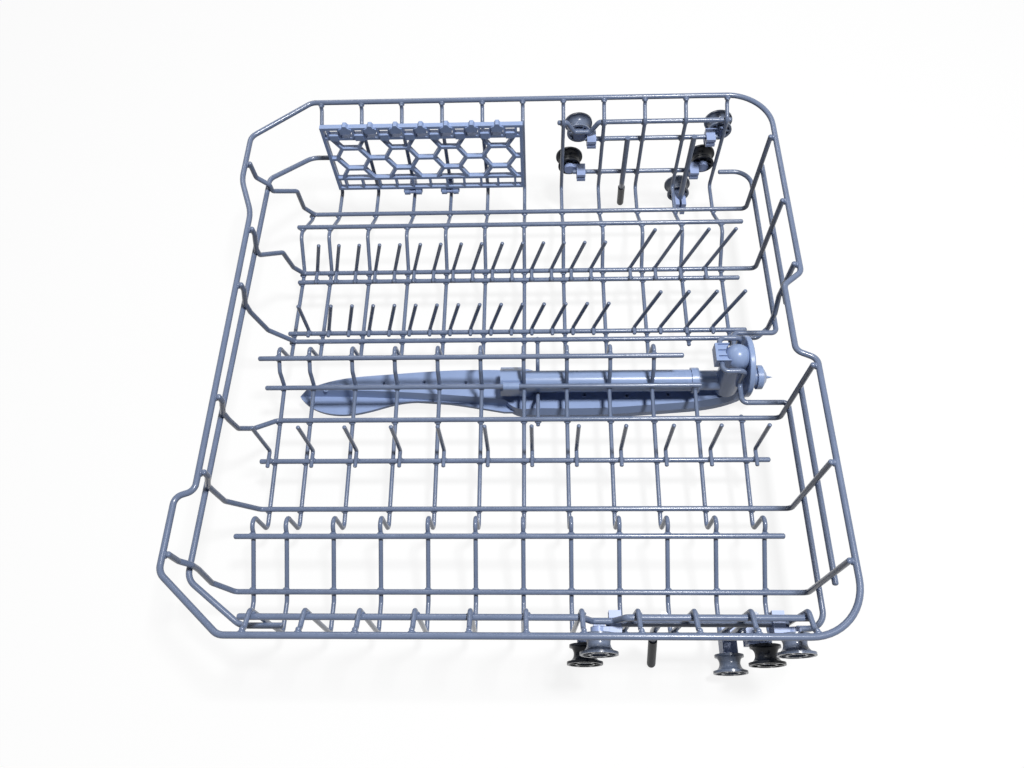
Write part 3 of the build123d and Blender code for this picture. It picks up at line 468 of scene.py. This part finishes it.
# %% Crossings
weld_gap = 0.0006
steep = 0.5
floor_bead, wall_bead, tine_bead, rim_bead = 1.0, 0.95, 0.85, 0.84


def welds(runs, tree, places, size):
    """Spot, facing and size of each place where a run touches what the tree holds."""
    found = []
    for start, end, radius in runs:
        for x in places:
            if start.x < x < end.x:
                centre = Vector((x, start.y, start.z))
                spot, _, _, gap = tree.find_nearest(centre)
                if spot is not None and gap < radius + weld_gap:
                    found.append((spot.copy(), (centre - spot).normalized(), size))
    return found


cross_names = [name for name in wire_names if "cross_wire" in name or name == "tube_support_wire"]
tine_names = [name for name in wire_names if name.endswith("tines")]
cross_places = sorted({round(end[0].x, 4) for name in cross_names for end in ends[name]})
tine_feet = [end for name in tine_names for end in ends[name] if abs(end[1].z) < steep]
tine_places = sorted({round(end[0].x, 4) for end in tine_feet})
cross_tree = surface_tree(cross_names)
beads = welds(floor_runs, cross_tree, cross_places, floor_bead)
beads += welds(wall_runs, cross_tree, cross_places, wall_bead)
beads += welds(floor_runs, surface_tree(tine_names), tine_places, tine_bead)
print("crossings:", len(beads))

# %% [markdown]
# The uprights and the rising ends of the long wires stand against the inner side of the rim. Each
# of those ends looks up and is close to the rim, so the nearest point of the rim is its weld.

# %% Welds at the rim
rim_gap = 0.002
rim_weld_drop = Vector((0, 0, 0.0012))
least_aside = 0.0005
rim_tree = surface_tree(["rim_wire"])
for name in wire_names:
    for centre, facing, radius in ends[name]:
        spot, _, _, gap = rim_tree.find_nearest(centre)
        if facing.z > steep and gap < radius + rim_gap:
            aside = Vector((centre.x - spot.x, centre.y - spot.y, 0.0))
            if aside.length > least_aside:
                beads.append((spot - rim_weld_drop, aside.normalized(), rim_bead))
print("with the rim:", len(beads))

# %% [markdown]
# ## Beads and tips from Geometry Nodes
#
# Both kinds of drop are the same small shape, a squashed sphere, set on a list of points. A node
# tree does that once for all of them: the points carry the way each drop faces and its size, and
# the tree's own inputs are the width and the height of the drop. The result is realized and
# becomes a plain mesh, one for the body that carries it.

# %% Drop tree


def named_input(tree, label, kind, default):
    """A named input of a geometry tree."""
    socket = tree.interface.new_socket(label, in_out="INPUT", socket_type=kind)
    if default is not None:
        socket.default_value = default
    return socket.identifier


def carried(tree, label, kind):
    """The output of a node that reads an attribute of the points."""
    reader = tree.nodes.new("GeometryNodeInputNamedAttribute")
    reader.data_type = kind
    reader.inputs["Name"].default_value = label
    return reader.outputs["Attribute"]


def set_on_points(tree, shape, group_in, group_out):
    """Puts a shape on every point, turned and sized as the point says, and makes it real."""
    turn = tree.nodes.new("FunctionNodeAlignRotationToVector")
    turn.axis = "Z"
    tree.links.new(carried(tree, "facing", "FLOAT_VECTOR"), turn.inputs["Vector"])
    place = tree.nodes.new("GeometryNodeInstanceOnPoints")
    tree.links.new(group_in.outputs["Geometry"], place.inputs["Points"])
    tree.links.new(shape, place.inputs["Instance"])
    tree.links.new(turn.outputs[0], place.inputs["Rotation"])
    tree.links.new(carried(tree, "size", "FLOAT"), place.inputs["Scale"])
    real = tree.nodes.new("GeometryNodeRealizeInstances")
    smooth = tree.nodes.new("GeometryNodeSetShadeSmooth")
    paint = tree.nodes.new("GeometryNodeSetMaterial")
    tree.links.new(place.outputs[0], real.inputs[0])
    tree.links.new(real.outputs[0], smooth.inputs[0])
    tree.links.new(smooth.outputs[0], paint.inputs["Geometry"])
    tree.links.new(group_in.outputs["Material"], paint.inputs["Material"])
    tree.links.new(paint.outputs[0], group_out.inputs[0])


def point_tree(name, sizes):
    """An empty geometry tree with a point cloud, a material and some sizes as its inputs."""
    tree = bpy.data.node_groups.new(name, "GeometryNodeTree")
    tree.interface.new_socket("Geometry", in_out="INPUT", socket_type="NodeSocketGeometry")
    keys = {"Material": named_input(tree, "Material", "NodeSocketMaterial", None)}
    for label, value in sizes.items():
        keys[label] = named_input(tree, label, "NodeSocketFloat", value)
    tree.interface.new_socket("Geometry", in_out="OUTPUT", socket_type="NodeSocketGeometry")
    return tree, keys, tree.nodes.new("NodeGroupInput"), tree.nodes.new("NodeGroupOutput")


drop_sizes = {"Width": 0.003, "Height": 0.001}
drop_tree, drop_keys, drop_in, drop_out = point_tree("coating_drops", drop_sizes)
ball = drop_tree.nodes.new("GeometryNodeMeshUVSphere")
ball.inputs["Segments"].default_value = 12
ball.inputs["Rings"].default_value = 6
ball.inputs["Radius"].default_value = 1.0
squash = drop_tree.nodes.new("ShaderNodeCombineXYZ")
for axis, label in (("X", "Width"), ("Y", "Width"), ("Z", "Height")):
    drop_tree.links.new(drop_in.outputs[label], squash.inputs[axis])
shaped = drop_tree.nodes.new("GeometryNodeTransform")
drop_tree.links.new(ball.outputs["Mesh"], shaped.inputs["Geometry"])
drop_tree.links.new(squash.outputs[0], shaped.inputs["Scale"])
set_on_points(drop_tree, shaped.outputs[0], drop_in, drop_out)
print("tree:", drop_tree.name, list(drop_keys))

# %% Growing a piece from points


def grow(name, points, tree, keys, values, body):
    """A plain mesh piece made by a geometry tree from (spot, facing, size) points."""
    mesh = bpy.data.meshes.new(name)
    mesh.from_pydata([spot for spot, _, _ in points], [], [])
    facing = mesh.attributes.new("facing", "FLOAT_VECTOR", "POINT")
    facing.data.foreach_set("vector", [c for _, way, _ in points for c in way])
    size = mesh.attributes.new("size", "FLOAT", "POINT")
    size.data.foreach_set("value", [s for _, _, s in points])
    piece = bpy.data.objects.new(name, mesh)
    scene.collection.objects.link(piece)
    growth = piece.modifiers.new("growth", "NODES")
    growth.node_group = tree
    for label, value in values.items():
        growth[keys[label]] = value
    depsgraph = bpy.context.evaluated_depsgraph_get()
    grown = bpy.data.meshes.new_from_object(piece.evaluated_get(depsgraph))
    piece.modifiers.clear()
    piece.data = grown
    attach(piece, body)
    print(name, "points:", len(points), "faces:", len(grown.polygons))


bead_sizes = {"Material": wire_coat, "Width": 0.0036, "Height": 0.0017}
grow("weld_beads", beads, drop_tree, drop_keys, bead_sizes, "basket")
tips = [end for found in ends.values() for end in found]
tip_sizes = {"Material": wire_coat, "Width": 0.998, "Height": 0.62}
grow("wire_tips", tips, drop_tree, drop_keys, tip_sizes, "basket")

# %% [markdown]
# ## Spray nozzles
#
# Each jet hole of the spray arm has a raised lip, which a fine ring stands for. The holes lie in
# two sets, half a turn apart, so the list is written once, as distances from the arm's axis, and
# turned. A ring is a small circle that is swept along a larger one.

# %% Lip tree
lip_sizes = {"Radius": 0.0022, "Thickness": 0.0006}
lip_tree, lip_keys, lip_in, lip_out = point_tree("nozzle_lips", lip_sizes)
circle = lip_tree.nodes.new("GeometryNodeCurvePrimitiveCircle")
circle.inputs["Resolution"].default_value = 24
section = lip_tree.nodes.new("GeometryNodeCurvePrimitiveCircle")
section.inputs["Resolution"].default_value = 8
sweep = lip_tree.nodes.new("GeometryNodeCurveToMesh")
lip_tree.links.new(lip_in.outputs["Radius"], circle.inputs["Radius"])
lip_tree.links.new(lip_in.outputs["Thickness"], section.inputs["Radius"])
lip_tree.links.new(circle.outputs["Curve"], sweep.inputs["Curve"])
lip_tree.links.new(section.outputs["Curve"], sweep.inputs["Profile Curve"])
set_on_points(lip_tree, sweep.outputs[0], lip_in, lip_out)
print("tree:", lip_tree.name, list(lip_keys))

# %% Nozzle lips
joints = {joint["name"]: joint for joint in frame["record"]["behaviour"]["joints"]}
arm_axis = Vector(joints["spray_arm_spin"]["pos_m"])
arm_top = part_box("spray_arm_upper")[1][2]
jets = [(-0.196, 0.001), (-0.139, 0.007), (-0.099, 0.008), (-0.058, 0.007)]
lips = [
    (Vector((arm_axis.x + turn * x, arm_axis.y + turn * y, arm_top)), Vector((0, 0, 1)), 1.0)
    for turn in (1, -1)
    for x, y in jets
]
lip_paint = {"Material": tube_plastic}
grow("nozzle_lips", lips, lip_tree, lip_keys, lip_paint, "spray_arm")
